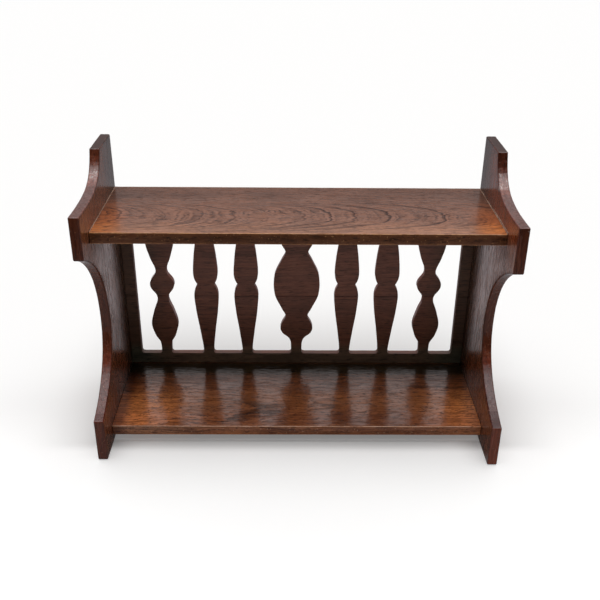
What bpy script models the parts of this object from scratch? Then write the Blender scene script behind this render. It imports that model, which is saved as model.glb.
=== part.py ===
"""Tabletop shelf rack: two shaped ends, two shelves and a fret-sawn back made of two boards.

Metres, +Z up. The front faces -Y. The origin is under the middle of the rack, on the surface it stands on.
"""
import math

import bmesh
import bpy
from mathutils import Matrix, Vector
from mathutils.geometry import interpolate_bezier

# Carcass
INNER_WIDTH = 0.532
END_THICKNESS = 0.014
SHELF_DEPTH = 0.174
SHELF_THICKNESS = 0.0155
SHELF_GAP = 0.2842
FOOT_CLEARANCE = 0.0128
CLEARANCE = 0.0003

# Ends: both follow one pattern, and the two were sawn a little differently by hand
HORN_RISE = 0.078
WAIST_DEPTH = 0.115
WAIST_DROP = 0.012
LEFT_HORN_DEPTH = 0.070
LEFT_NOSE_PROJECTION = 0.036
LEFT_NOSE_RISE = 0.0345
LEFT_NOSE_HEIGHT = 0.058
LEFT_FOOT_PROJECTION = 0.041
LEFT_FOOT_HEIGHT = 0.0645
RIGHT_HORN_DEPTH = 0.0755
RIGHT_NOSE_PROJECTION = 0.045
RIGHT_NOSE_RISE = 0.0275
RIGHT_NOSE_HEIGHT = 0.0625
RIGHT_FOOT_PROJECTION = 0.051
RIGHT_FOOT_HEIGHT = 0.0625
CURVE_STEPS = 14

# Handles of the ends' curves, as shares of each curve's run and rise
FOOT_HOLLOW_LEAD = (0.68, 0.17)
FOOT_HOLLOW_ARRIVE = 0.48
NOSE_HOLLOW_LEAD = 0.55
NOSE_HOLLOW_ARRIVE = (0.48, 0.14)
SWEEP_LEAD = (0.68, 0.10)
SWEEP_ARRIVE = (0.10, 0.05)

# Back: two boards, edge to edge, lapped over the rear edges of the ends and shelves
BACK_THICKNESS = 0.0105
BACK_LAP = 0.011
STILE_SHOWN = 0.0160
LOWER_RAIL_SHOWN = 0.0167
UPPER_RAIL_SHOWN = 0.0206
BOARD_JOINT_DROP = 0.0195
FRET_FILLET = 0.004
FRET_FILLET_STEPS = 4
FRET_STEP = 0.0035

# Half profiles of the balusters: share of the height from the middle to a rail, then half the width there.
# A blunt profile crosses the middle square to it, and the slender one meets its mirror image in a notch.
BULB_BALUSTER = {
    "blunt": True,
    "knots": [(0.0, 0.0187), (0.03, 0.0183), (0.065, 0.0165), (0.105, 0.0129), (0.145, 0.0096), (0.19, 0.0084),
              (0.37, 0.0154), (0.57, 0.0208), (0.73, 0.0160), (0.85, 0.0086), (1.0, 0.0079)],
}
SLENDER_BALUSTER = {
    "blunt": False,
    "knots": [(0.0, 0.0126), (0.035, 0.0153), (0.085, 0.0177), (0.155, 0.0188), (0.37, 0.0169),
              (0.67, 0.0119), (1.0, 0.0079)],
}
URN_BALUSTER = {
    "blunt": True,
    "knots": [(0.0, 0.0358), (0.125, 0.0343), (0.34, 0.0231), (0.445, 0.0172), (0.55, 0.0233),
              (0.62, 0.0256), (0.69, 0.0227), (0.77, 0.0118), (0.845, 0.0088), (1.0, 0.0084)],
}
BALUSTERS = [BULB_BALUSTER, SLENDER_BALUSTER, SLENDER_BALUSTER, URN_BALUSTER,
             SLENDER_BALUSTER, SLENDER_BALUSTER, BULB_BALUSTER]
# How far each baluster was sawn off its even place
BALUSTER_SHIFTS = (-0.0048, -0.0010, -0.0006, -0.0010, -0.0024, -0.0021, -0.0002)

# Dowels between shelves and ends
DOWEL_DIAMETER = 0.008
DOWEL_IN_END = 0.0085
DOWEL_IN_SHELF = 0.021
DOWEL_INSET = 0.025
DOWEL_END_GAP = 0.0004

# Countersunk screws through the back
SCREW_SHANK_DIAMETER = 0.0035
SCREW_HEAD_DIAMETER = 0.007
SCREW_HEAD_HEIGHT = 0.0022
SCREW_GRIP = 0.017
SCREW_POINT = 0.004
SCREW_TIP_DIAMETER = 0.0012
SCREW_SLOT_WIDTH = 0.0009
SCREW_SLOT_DEPTH = 0.0009
SCREW_INSET = 0.050
ROUND_SIDES = 16

# Places worked out from the sizes above
HALF_INNER = INNER_WIDTH / 2
LOWER_SHELF_TOP = FOOT_CLEARANCE + SHELF_THICKNESS
UPPER_SHELF_BOTTOM = LOWER_SHELF_TOP + SHELF_GAP
UPPER_SHELF_TOP = UPPER_SHELF_BOTTOM + SHELF_THICKNESS
END_HEIGHT = UPPER_SHELF_TOP + HORN_RISE
DEEPEST_REACH = SHELF_DEPTH + max(LEFT_FOOT_PROJECTION, RIGHT_FOOT_PROJECTION,
                                  LEFT_NOSE_PROJECTION, RIGHT_NOSE_PROJECTION)
REAR_Y = (DEEPEST_REACH - CLEARANCE - BACK_THICKNESS) / 2
BACK_FRONT_Y = REAR_Y + CLEARANCE
BACK_REAR_Y = BACK_FRONT_Y + BACK_THICKNESS
BACK_HALF_WIDTH = HALF_INNER + BACK_LAP
BACK_BOTTOM = LOWER_SHELF_TOP - BACK_LAP
BACK_TOP = UPPER_SHELF_BOTTOM + BACK_LAP
OPENING_HALF_WIDTH = HALF_INNER - STILE_SHOWN
OPENING_BOTTOM = LOWER_SHELF_TOP + LOWER_RAIL_SHOWN
OPENING_TOP = UPPER_SHELF_BOTTOM - UPPER_RAIL_SHOWN
FRET_MIDDLE = (OPENING_BOTTOM + OPENING_TOP) / 2
FRET_HALF_HEIGHT = (OPENING_TOP - OPENING_BOTTOM) / 2
BOARD_JOINT = FRET_MIDDLE - BOARD_JOINT_DROP


def clear_scene():
    for item in list(bpy.data.objects):
        bpy.data.objects.remove(item, do_unlink=True)


def finish_material(name, colour, roughness, metallic=0.0):
    material = bpy.data.materials.new(name)
    material.use_nodes = True
    shader = material.node_tree.nodes["Principled BSDF"]
    shader.inputs["Base Color"].default_value = (*colour, 1.0)
    shader.inputs["Roughness"].default_value = roughness
    shader.inputs["Metallic"].default_value = metallic
    return material


def add_object(name, shape, rack, material=None):
    """Turns a bmesh into a named object that hangs from the rack's empty."""
    bmesh.ops.recalc_face_normals(shape, faces=shape.faces)
    mesh = bpy.data.meshes.new(name)
    shape.to_mesh(mesh)
    shape.free()
    if material:
        mesh.materials.append(material)
    item = bpy.data.objects.new(name, mesh)
    bpy.context.scene.collection.objects.link(item)
    item.parent = rack
    return item


def plate(outline, along):
    """A flat outline, given as 3-D points, thickened by the vector along."""
    shape = bmesh.new()
    corners = [shape.verts.new(point) for point in outline]
    face = shape.faces.new(corners)
    swept = bmesh.ops.extrude_face_region(shape, geom=[face])
    moved = [part for part in swept["geom"] if isinstance(part, bmesh.types.BMVert)]
    bmesh.ops.translate(shape, verts=moved, vec=along)
    return shape


def block(low, high):
    """A board with square edges between two opposite corners."""
    low, high = Vector(low), Vector(high)
    shape = bmesh.new()
    place = Matrix.Translation((low + high) / 2) @ Matrix.Diagonal((*(high - low), 1.0))
    bmesh.ops.create_cube(shape, size=1.0, matrix=place)
    return shape


def turned(profile, place):
    """A round piece from (distance, radius) pairs along its own +Z, moved to its place."""
    shape = bmesh.new()
    rings = []
    for distance, radius in profile:
        ring = []
        for side in range(ROUND_SIDES):
            angle = 2 * math.pi * side / ROUND_SIDES
            point = Vector((radius * math.cos(angle), radius * math.sin(angle), distance))
            ring.append(shape.verts.new(place @ point))
        rings.append(ring)
    for below, above in zip(rings, rings[1:]):
        for side in range(ROUND_SIDES):
            after = (side + 1) % ROUND_SIDES
            shape.faces.new((below[side], below[after], above[after], above[side]))
    shape.faces.new(rings[0])
    shape.faces.new(rings[-1])
    return shape


def cutter(name, shapes, rack):
    """Several separate shapes as one hidden cutting object."""
    merged = bmesh.new()
    for shape in shapes:
        mesh = bpy.data.meshes.new("cut")
        bmesh.ops.recalc_face_normals(shape, faces=shape.faces)
        shape.to_mesh(mesh)
        shape.free()
        merged.from_mesh(mesh)
        bpy.data.meshes.remove(mesh)
    item = add_object(name, merged, rack)
    item.hide_render = True
    item.display_type = "WIRE"
    return item


def cut(item, tool):
    trim = item.modifiers.new(tool.name, "BOOLEAN")
    trim.operation = "DIFFERENCE"
    trim.solver = "EXACT"
    trim.object = tool


def curve_points(start, lead, arrive, end):
    """A cubic curve in the (reach, height) plane, without its first point."""
    knots = [Vector((reach, height, 0.0)) for reach, height in (start, lead, arrive, end)]
    return [(point.x, point.y) for point in interpolate_bezier(*knots, CURVE_STEPS + 1)[1:]]


def end_outline(horn_depth, nose_projection, nose_rise, nose_height, foot_projection, foot_height):
    """Side view of an end as (reach forward of the rear edge, height), anticlockwise from the rear foot."""
    foot = SHELF_DEPTH + foot_projection
    nose = SHELF_DEPTH + nose_projection
    nose_top = UPPER_SHELF_TOP + nose_rise
    nose_bottom = nose_top - nose_height
    waist_height = (foot_height + nose_bottom) / 2 - WAIST_DROP
    waist = (WAIST_DEPTH, waist_height)

    outline = [(0.0, 0.0), (foot, 0.0), (foot, foot_height)]
    # Hollow from the foot up to the waist
    run, rise = foot - WAIST_DEPTH, waist_height - foot_height
    outline += curve_points((foot, foot_height),
                            (foot - FOOT_HOLLOW_LEAD[0] * run, foot_height + FOOT_HOLLOW_LEAD[1] * rise),
                            (WAIST_DEPTH, waist_height - FOOT_HOLLOW_ARRIVE * rise), waist)
    # Hollow from the waist out to the underside of the nose
    run, rise = nose - WAIST_DEPTH, nose_bottom - waist_height
    outline += curve_points(waist, (WAIST_DEPTH, waist_height + NOSE_HOLLOW_LEAD * rise),
                            (nose - NOSE_HOLLOW_ARRIVE[0] * run, nose_bottom - NOSE_HOLLOW_ARRIVE[1] * rise),
                            (nose, nose_bottom))
    # Sweep from the top of the nose up to the horn
    run, rise = nose - horn_depth, END_HEIGHT - nose_top
    outline.append((nose, nose_top))
    outline += curve_points((nose, nose_top),
                            (nose - SWEEP_LEAD[0] * run, nose_top - SWEEP_LEAD[1] * rise),
                            (horn_depth + SWEEP_ARRIVE[0] * run, nose_top + SWEEP_ARRIVE[1] * rise),
                            (horn_depth, END_HEIGHT))
    outline.append((0.0, END_HEIGHT))
    return outline


def add_end(name, inner_x, outward, outline, rack, material):
    points = [(inner_x, REAR_Y - reach, height) for reach, height in outline]
    return add_object(name, plate(points, (outward * END_THICKNESS, 0.0, 0.0)), rack, material)


def add_shelf(name, top, rack, material):
    half = HALF_INNER - CLEARANCE
    shape = block((-half, REAR_Y - SHELF_DEPTH, top - SHELF_THICKNESS), (half, REAR_Y, top))
    return add_object(name, shape, rack, material)


def knot_slopes(baluster):
    """Slopes at a profile's knots, level wherever the profile turns, so that the curve never overshoots."""
    knots = baluster["knots"]
    steps = [(b[1] - a[1]) / (b[0] - a[0]) for a, b in zip(knots, knots[1:])]
    slopes = [0.0 if baluster["blunt"] else steps[0]]
    for before, after in zip(steps, steps[1:]):
        turns = before * after <= 0.0
        slopes.append(0.0 if turns else 2 * before * after / (before + after))
    slopes.append(0.0)
    return slopes


def baluster_half_width(baluster, height):
    """Half the width of a baluster at a height above or below the middle of the fret."""
    knots, slopes = baluster["knots"], knot_slopes(baluster)
    share = min(abs(height) / FRET_HALF_HEIGHT, 1.0)
    index = max(i for i in range(len(knots) - 1) if knots[i][0] <= share)
    (low, low_width), (high, high_width) = knots[index], knots[index + 1]
    span = high - low
    t = (share - low) / span
    width = (low_width * (1 + 2 * t) * (1 - t) ** 2 + high_width * t * t * (3 - 2 * t)
             + slopes[index] * span * t * (1 - t) ** 2 - slopes[index + 1] * span * t * t * (1 - t))
    return width + foot_flare(FRET_HALF_HEIGHT - abs(height))


def foot_flare(distance):
    """How far a fillet spreads out at a distance from the rail."""
    short = min(max(FRET_FILLET - distance, 0.0), FRET_FILLET)
    return FRET_FILLET - math.sqrt(FRET_FILLET ** 2 - short ** 2)


def baluster_centres():
    """Even places, with one gap between the widest parts of neighbours, plus each baluster's own shift."""
    widest = [max(width for _, width in baluster["knots"]) for baluster in BALUSTERS]
    gap = (2 * OPENING_HALF_WIDTH - 2 * sum(widest)) / (len(BALUSTERS) + 1)
    centres = []
    edge = -OPENING_HALF_WIDTH
    for half, shift in zip(widest, BALUSTER_SHIFTS):
        even = edge + gap + half
        centres.append(even + shift)
        edge = even + half
    return centres


def fret_heights(start, rail):
    """Heights from the board joint to a rail, with one at the notch and more in the fillet at the rail."""
    towards = 1.0 if rail > start else -1.0
    fillet_start = rail - towards * FRET_FILLET
    stops = [start, 0.0, fillet_start] if start * rail < 0.0 else [start, fillet_start]
    heights = []
    for low, high in zip(stops, stops[1:]):
        count = max(2, round(abs(high - low) / FRET_STEP))
        heights += [low + (high - low) * i / count for i in range(count)]
    for i in range(FRET_FILLET_STEPS + 1):
        turn = 0.5 * math.pi * i / FRET_FILLET_STEPS
        heights.append(rail - towards * FRET_FILLET * (1 - math.sin(turn)))
    return heights


def comb_outline(joint, rail, outer):
    """One back board as (x, z): a rail, two stiles and the parts of the balusters up to the joint."""
    heights = fret_heights(joint - FRET_MIDDLE, rail - FRET_MIDDLE)
    inner = [(OPENING_HALF_WIDTH - foot_flare(FRET_HALF_HEIGHT - abs(height)), FRET_MIDDLE + height)
             for height in heights]
    outline = [(-BACK_HALF_WIDTH, outer), (-BACK_HALF_WIDTH, joint)]
    outline += [(-x, z) for x, z in inner]
    for baluster, centre in zip(BALUSTERS, baluster_centres()):
        side = [(baluster_half_width(baluster, height), FRET_MIDDLE + height) for height in heights]
        outline += [(centre - width, z) for width, z in reversed(side)]
        outline += [(centre + width, z) for width, z in side]
    outline += list(reversed(inner))
    outline += [(BACK_HALF_WIDTH, joint), (BACK_HALF_WIDTH, outer)]
    return outline


def add_back_board(name, joint, rail, outer, rack, material):
    points = [(x, BACK_FRONT_Y, z) for x, z in comb_outline(joint, rail, outer)]
    return add_object(name, plate(points, (0.0, BACK_THICKNESS, 0.0)), rack, material)


def add_dowels(side_name, outward, shelves, end, rack, material):
    """Three dowels from each shelf into one end, with their bores."""
    radius = DOWEL_DIAMETER / 2
    bores = []
    rows = {"front": REAR_Y - SHELF_DEPTH + DOWEL_INSET,
            "middle": REAR_Y - SHELF_DEPTH / 2,
            "rear": REAR_Y - DOWEL_INSET}
    for shelf_name, shelf_top in (("upper", UPPER_SHELF_TOP), ("lower", LOWER_SHELF_TOP)):
        for row, y in rows.items():
            joint = Vector((outward * HALF_INNER, y, shelf_top - SHELF_THICKNESS / 2))
            place = Matrix.Translation(joint) @ Matrix.Rotation(outward * math.pi / 2, 4, "Y")
            peg = turned([(-DOWEL_IN_SHELF, radius), (DOWEL_IN_END, radius)], place)
            add_object(f"dowel_{shelf_name}_{side_name}_{row}", peg, rack, material)
            bores.append(turned([(-DOWEL_IN_SHELF - DOWEL_END_GAP, radius + CLEARANCE),
                                 (DOWEL_IN_END + DOWEL_END_GAP, radius + CLEARANCE)], place))
    tool = cutter(f"bores_{side_name}", bores, rack)
    for item in (end, *shelves):
        cut(item, tool)


def screw_places():
    """Where the screws go through the back: name, x and z."""
    upper_z = UPPER_SHELF_BOTTOM + BACK_LAP / 2
    lower_z = LOWER_SHELF_TOP - BACK_LAP / 2
    far_x = HALF_INNER - SCREW_INSET
    side_x = HALF_INNER + BACK_LAP / 2
    high_z = UPPER_SHELF_BOTTOM - SCREW_INSET
    low_z = LOWER_SHELF_TOP + SCREW_INSET
    return [("upper_left", -far_x, upper_z), ("upper_middle", 0.0, upper_z), ("upper_right", far_x, upper_z),
            ("lower_left", -far_x, lower_z), ("lower_middle", 0.0, lower_z), ("lower_right", far_x, lower_z),
            ("left_high", -side_x, high_z), ("left_low", -side_x, low_z),
            ("right_high", side_x, high_z), ("right_low", side_x, low_z)]


def add_back_screws(carcass, rack, material):
    """Slotted countersunk screws, heads just under the rear face, with their holes."""
    shank = SCREW_SHANK_DIAMETER / 2
    head = SCREW_HEAD_DIAMETER / 2
    top = CLEARANCE
    neck = top + SCREW_HEAD_HEIGHT
    tip = BACK_THICKNESS + SCREW_GRIP
    past_face = 2 * SCREW_HEAD_HEIGHT
    screws = []
    holes = []
    slots = []
    for name, x, z in screw_places():
        place = Matrix.Translation((x, BACK_REAR_Y, z)) @ Matrix.Rotation(math.pi / 2, 4, "X")
        screw = turned([(top, head), (neck, shank), (tip - SCREW_POINT, shank),
                        (tip, SCREW_TIP_DIAMETER / 2)], place)
        screws.append(add_object(f"back_screw_{name}", screw, rack, material))
        holes.append(turned([(-past_face, head + CLEARANCE), (top, head + CLEARANCE),
                             (neck, shank + CLEARANCE), (tip + CLEARANCE, shank + CLEARANCE)], place))
        slot = block((-2 * head, -SCREW_SLOT_WIDTH / 2, -past_face),
                     (2 * head, SCREW_SLOT_WIDTH / 2, top + SCREW_SLOT_DEPTH))
        bmesh.ops.transform(slot, matrix=place, verts=slot.verts)
        slots.append(slot)
    hole_tool = cutter("screw_holes", holes, rack)
    for item in carcass:
        cut(item, hole_tool)
    slot_tool = cutter("screw_slots", slots, rack)
    for item in screws:
        cut(item, slot_tool)


def build():
    clear_scene()
    rack = bpy.data.objects.new("rack", None)
    bpy.context.scene.collection.objects.link(rack)

    end_wood = finish_material("end_oak", (0.105, 0.038, 0.017), 0.30)
    shelf_wood = finish_material("shelf_oak", (0.190, 0.078, 0.032), 0.28)
    back_wood = finish_material("back_oak", (0.060, 0.025, 0.013), 0.35)
    peg_wood = finish_material("peg_beech", (0.45, 0.28, 0.15), 0.6)
    screw_steel = finish_material("screw_steel", (0.28, 0.25, 0.21), 0.45, metallic=1.0)

    left_outline = end_outline(LEFT_HORN_DEPTH, LEFT_NOSE_PROJECTION, LEFT_NOSE_RISE, LEFT_NOSE_HEIGHT,
                               LEFT_FOOT_PROJECTION, LEFT_FOOT_HEIGHT)
    right_outline = end_outline(RIGHT_HORN_DEPTH, RIGHT_NOSE_PROJECTION, RIGHT_NOSE_RISE, RIGHT_NOSE_HEIGHT,
                                RIGHT_FOOT_PROJECTION, RIGHT_FOOT_HEIGHT)
    left_end = add_end("left_end", -HALF_INNER, -1.0, left_outline, rack, end_wood)
    right_end = add_end("right_end", HALF_INNER, 1.0, right_outline, rack, end_wood)
    shelves = [add_shelf("upper_shelf", UPPER_SHELF_TOP, rack, shelf_wood),
               add_shelf("lower_shelf", LOWER_SHELF_TOP, rack, shelf_wood)]
    boards = [add_back_board("upper_back_board", BOARD_JOINT + CLEARANCE / 2, OPENING_TOP, BACK_TOP,
                             rack, back_wood),
              add_back_board("lower_back_board", BOARD_JOINT - CLEARANCE / 2, OPENING_BOTTOM, BACK_BOTTOM,
                             rack, back_wood)]

    add_dowels("left", -1.0, shelves, left_end, rack, peg_wood)
    add_dowels("right", 1.0, shelves, right_end, rack, peg_wood)
    add_back_screws((left_end, right_end, *shelves, *boards), rack, screw_steel)


build()
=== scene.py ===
import math
import bmesh
import bpy
from mathutils import Matrix, Vector, noise


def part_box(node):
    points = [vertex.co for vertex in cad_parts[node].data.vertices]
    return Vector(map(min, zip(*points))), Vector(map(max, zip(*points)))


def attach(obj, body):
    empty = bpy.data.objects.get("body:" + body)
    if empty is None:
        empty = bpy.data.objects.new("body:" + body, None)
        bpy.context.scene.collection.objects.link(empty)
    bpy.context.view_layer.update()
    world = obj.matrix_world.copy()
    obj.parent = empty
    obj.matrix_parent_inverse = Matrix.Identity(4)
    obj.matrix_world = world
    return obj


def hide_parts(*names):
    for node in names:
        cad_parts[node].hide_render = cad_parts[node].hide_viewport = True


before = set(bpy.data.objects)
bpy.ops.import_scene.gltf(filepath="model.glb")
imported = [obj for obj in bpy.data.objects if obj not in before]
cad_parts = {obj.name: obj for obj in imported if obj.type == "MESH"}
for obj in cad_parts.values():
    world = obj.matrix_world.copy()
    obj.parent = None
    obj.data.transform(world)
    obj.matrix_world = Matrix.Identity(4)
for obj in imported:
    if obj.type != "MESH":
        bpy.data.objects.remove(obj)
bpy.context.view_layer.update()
print("frame:", len(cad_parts), "nodes")


# helpers for node trees: a socket is linked, anything else is set as the socket's value
def feed(tree, socket, value):
    if isinstance(value, bpy.types.NodeSocket):
        tree.links.new(value, socket)
    else:
        socket.default_value = value


def put(tree, kind, inputs=None, **options):
    node = tree.nodes.new(kind)
    for option, value in options.items():
        setattr(node, option, value)
    for name, value in (inputs or {}).items():
        feed(tree, node.inputs[name], value)
    return node


def calc(tree, operation, *values):
    node = put(tree, "ShaderNodeMath", operation=operation)
    for socket, value in zip(node.inputs, values):
        feed(tree, socket, value)
    return node.outputs[0]


def times(tree, product, *others):
    for other in others:
        product = calc(tree, "MULTIPLY", product, other)
    return product


def vectorCalc(tree, operation, *values):
    node = put(tree, "ShaderNodeVectorMath", operation=operation)
    for socket, value in zip(node.inputs, values):
        feed(tree, socket, value)
    return node.outputs["Value" if operation in ("LENGTH", "DISTANCE", "DOT_PRODUCT") else "Vector"]


def scaled(tree, vector, amount):
    node = put(tree, "ShaderNodeVectorMath", {"Vector": vector, "Scale": amount}, operation="SCALE")
    return node.outputs["Vector"]


def split(tree, vector):
    return put(tree, "ShaderNodeSeparateXYZ", {"Vector": vector}).outputs


def remap(tree, value, low, high, toLow=0.0, toHigh=1.0, how="SMOOTHSTEP"):
    ends = {"Value": value, "From Min": low, "From Max": high, "To Min": toLow, "To Max": toHigh}
    return put(tree, "ShaderNodeMapRange", ends, interpolation_type=how).outputs["Result"]


def cloudy(tree, vector, scale, detail, roughness, output="Fac"):
    grain = {"Vector": vector, "Scale": scale, "Detail": detail, "Roughness": roughness}
    return put(tree, "ShaderNodeTexNoise", grain).outputs[output]


def blendColour(tree, share, first, second, mode="MIX"):
    node = put(tree, "ShaderNodeMix", data_type="RGBA", blend_type=mode)
    for index, value in ((0, share), (6, first), (7, second)):
        feed(tree, node.inputs[index], value)
    return node.outputs[2]


def newGroup(name, kind, inputs, outputs):
    group = bpy.data.node_groups.new(name, kind)
    for direction, rows in (("INPUT", inputs), ("OUTPUT", outputs)):
        for label, socketType in rows:
            group.interface.new_socket(name=label, in_out=direction, socket_type=socketType)
    return group, group.nodes.new("NodeGroupInput").outputs, group.nodes.new("NodeGroupOutput").inputs


def floats(*labels):
    return [(label, floatSocket) for label in labels]


floatSocket, vectorSocket = "NodeSocketFloat", "NodeSocketVector"
white = (1, 1, 1, 1)
quarterTurn = math.pi / 2


# camera, fitted to the photograph's 600 x 600 picture
cameraSettings = {
    "place": (-0.0088, -1.0121, 0.7253),
    "tilt": 27.5,    # degrees below level
    "yaw": -0.673,
    "roll": 0.535,
    "focalPixels": 806.2,
    "picturePixels": 600,
    "sensor": 36.0,
    "nearest": 0.01,
    "farthest": 60,
}


def addCamera(s):
    tilt, yaw, roll = (math.radians(s[key]) for key in ("tilt", "yaw", "roll"))
    up = Vector((0, 0, 1))
    ahead = Vector((-math.sin(yaw), math.cos(yaw), 0))
    across = Vector((math.cos(yaw), math.sin(yaw), 0))
    forward = ahead * math.cos(tilt) - up * math.sin(tilt)
    upward = ahead * math.sin(tilt) + up * math.cos(tilt)
    right = across * math.cos(roll) + upward * math.sin(roll)
    top = upward * math.cos(roll) - across * math.sin(roll)
    data = bpy.data.cameras.new("camera")
    data.sensor_width = s["sensor"]
    data.lens = s["focalPixels"] / s["picturePixels"] * s["sensor"]
    data.clip_start = s["nearest"]
    data.clip_end = s["farthest"]
    camera = bpy.data.objects.new("camera", data)
    turn = Matrix((right, top, -forward)).transposed().to_4x4()
    camera.matrix_world = Matrix.Translation(s["place"]) @ turn
    bpy.context.scene.collection.objects.link(camera)
    bpy.context.scene.camera = camera


addCamera(cameraSettings)
print("camera placed")


# studio: pale floor, a white room behind, a darker room in front, one wide soft light overhead
studio = {
    "floorFront": -0.75,    # the pale floor ends here, out of the picture
    "floorBack": 14.0,
    "floorHalfWidth": 12.0,
    "floorDrop": 0.0003,
    "floorColour": (0.80, 0.80, 0.80, 1),
    "floorGlow": 0.165,
    "frontGlow": (0.05, -0.12, 0.0, 0.13),    # painted light: the floor glows more towards the front, from y to y, and what it adds there
    "poolAcross": (0.40, 0.25),    # painted shadow: the floor glows less in a pool under and just behind the rack
    "poolBehind": (0.50, 0.12),
    "poolBefore": (-0.092, -0.068),
    "underGlow": (-0.066, -0.0585, 0.0, 0.19),    # painted light on the floor under the lower shelf's front
    "underGlowBack": (0.02, -0.03),
    "mirroredUnder": (0.05, 0.048, 0.046, 1),    # painted reflection: the floor in the varnish glows, with a painted shadow under the rack, then going back
    "mirroredNear": (0.28, 0.28, 0.29, 1),
    "mirroredMiddle": (0.69, 0.63, 0.65, 1),
    "mirroredFar": (0.30, 0.30, 0.32, 1),
    "underAcross": (0.285, 0.260),
    "underBehind": (0.16, 0.11),
    "underBefore": (-0.115, -0.085),
    "mirroredRise": (0.15, 0.42),
    "mirroredFall": (0.55, 1.2),
    "roomLow": (0.25, 0.24, 0.24, 1),    # the room in the varnish, by height and then from front to back
    "roomHigh": (0.84, 0.78, 0.78, 1),
    "roomRise": (0.325, 0.415),
    "roomTop": (1.15, 1.12, 1.15, 1),
    "roomTopFrom": (0.65, 0.85),
    "frontDark": (0.03, 0.028, 0.026, 1),
    "frontDarkFrom": (-0.65, -0.15),
    "lightBehind": (0.90, 0.89, 0.88, 1),
    "lightFront": (0.14, 0.138, 0.135, 1),
    "lightFrom": (-0.35, 0.35),
    "lightPower": 1.65,
    "lightSpread": 60,    # degrees across
    "lightTilt": (8, 0, 0),
}


def seenDirectly(tree):
    path = tree.nodes.new("ShaderNodeLightPath").outputs
    mirrored = calc(tree, "MAXIMUM", path["Is Glossy Ray"], path["Is Transmission Ray"])
    return path["Is Camera Ray"], mirrored


def addFloor(s):
    shape = bmesh.new()
    wide, low = s["floorHalfWidth"], -s["floorDrop"]
    front, rear = s["floorFront"], s["floorBack"]
    corners = [(-wide, front), (wide, front), (wide, rear), (-wide, rear)]
    shape.faces.new([shape.verts.new((x, y, low)) for x, y in corners])
    mesh = bpy.data.meshes.new("floor")
    shape.to_mesh(mesh)
    shape.free()
    floor = bpy.data.objects.new("floor", mesh)
    bpy.context.scene.collection.objects.link(floor)
    material = bpy.data.materials.new("paleFloor")
    material.use_nodes = True
    tree = material.node_tree
    tree.nodes.clear()
    camera, mirrored = seenDirectly(tree)
    paper = put(tree, "ShaderNodeBsdfDiffuse", {"Color": s["floorColour"]})
    spot = split(tree, put(tree, "ShaderNodeTexCoord").outputs["Object"])
    back = spot["Y"]
    across = calc(tree, "ABSOLUTE", spot["X"])

    def patch(name):
        sides = [remap(tree, back, *s[name + side]) for side in ("Behind", "Before")]
        return times(tree, remap(tree, across, *s[name + "Across"]), *sides)

    # painted light and shadow on the floor: more glow to the front, less in a shadow pool under the rack, a
    # patch of light under the lower shelf
    lift = calc(tree, "ADD", s["floorGlow"], remap(tree, back, *s["frontGlow"]))
    lift = times(tree, lift, calc(tree, "SUBTRACT", 1.0, patch("pool")))
    bounced = times(tree, remap(tree, back, *s["underGlow"]), remap(tree, back, *s["underGlowBack"]))
    lift = calc(tree, "MULTIPLY_ADD", bounced, remap(tree, across, *s["underAcross"]), lift)
    glow = put(tree, "ShaderNodeEmission", {"Strength": times(tree, camera, lift)})
    # painted reflection: the floor that the varnish mirrors is an emission, darker near and under the rack,
    # brightest some way behind
    shown = blendColour(tree, remap(tree, back, *s["mirroredRise"]), s["mirroredNear"], s["mirroredMiddle"])
    shown = blendColour(tree, remap(tree, back, *s["mirroredFall"]), shown, s["mirroredFar"])
    shown = blendColour(tree, patch("under"), shown, s["mirroredUnder"])
    image = put(tree, "ShaderNodeEmission", {"Color": shown})
    both = put(tree, "ShaderNodeAddShader")
    choice = put(tree, "ShaderNodeMixShader", {"Fac": mirrored})
    for source, target in ((paper, both.inputs[0]), (glow, both.inputs[1]),
                           (both, choice.inputs[1]), (image, choice.inputs[2])):
        tree.links.new(source.outputs[0], target)
    put(tree, "ShaderNodeOutputMaterial", {"Surface": choice.outputs[0]})
    mesh.materials.append(material)


def addRoomLight(s):
    world = bpy.data.worlds.new("room")
    bpy.context.scene.world = world
    world.use_nodes = True
    tree = world.node_tree
    tree.nodes.clear()
    camera, mirrored = seenDirectly(tree)
    towards = split(tree, put(tree, "ShaderNodeTexCoord").outputs["Generated"])
    wall = blendColour(tree, remap(tree, towards["Z"], *s["roomRise"]), s["roomLow"], s["roomHigh"])
    wall = blendColour(tree, remap(tree, towards["Z"], *s["roomTopFrom"]), wall, s["roomTop"])
    wall = blendColour(tree, remap(tree, towards["Y"], *s["frontDarkFrom"]), s["frontDark"], wall)
    ambient = blendColour(tree, remap(tree, towards["Y"], *s["lightFrom"]), s["lightFront"], s["lightBehind"])
    light = blendColour(tree, mirrored, ambient, wall)
    room = put(tree, "ShaderNodeBackground", {"Color": blendColour(tree, camera, light, white)})
    put(tree, "ShaderNodeOutputWorld", {"Surface": room.outputs[0]})
    lamp = bpy.data.lights.new("overhead", "SUN")
    lamp.energy = s["lightPower"]
    lamp.angle = math.radians(s["lightSpread"])
    overhead = bpy.data.objects.new("overhead", lamp)
    overhead.rotation_euler = [math.radians(angle) for angle in s["lightTilt"]]
    bpy.context.scene.collection.objects.link(overhead)


addFloor(studio)
addRoomLight(studio)
print("studio lit")


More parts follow.
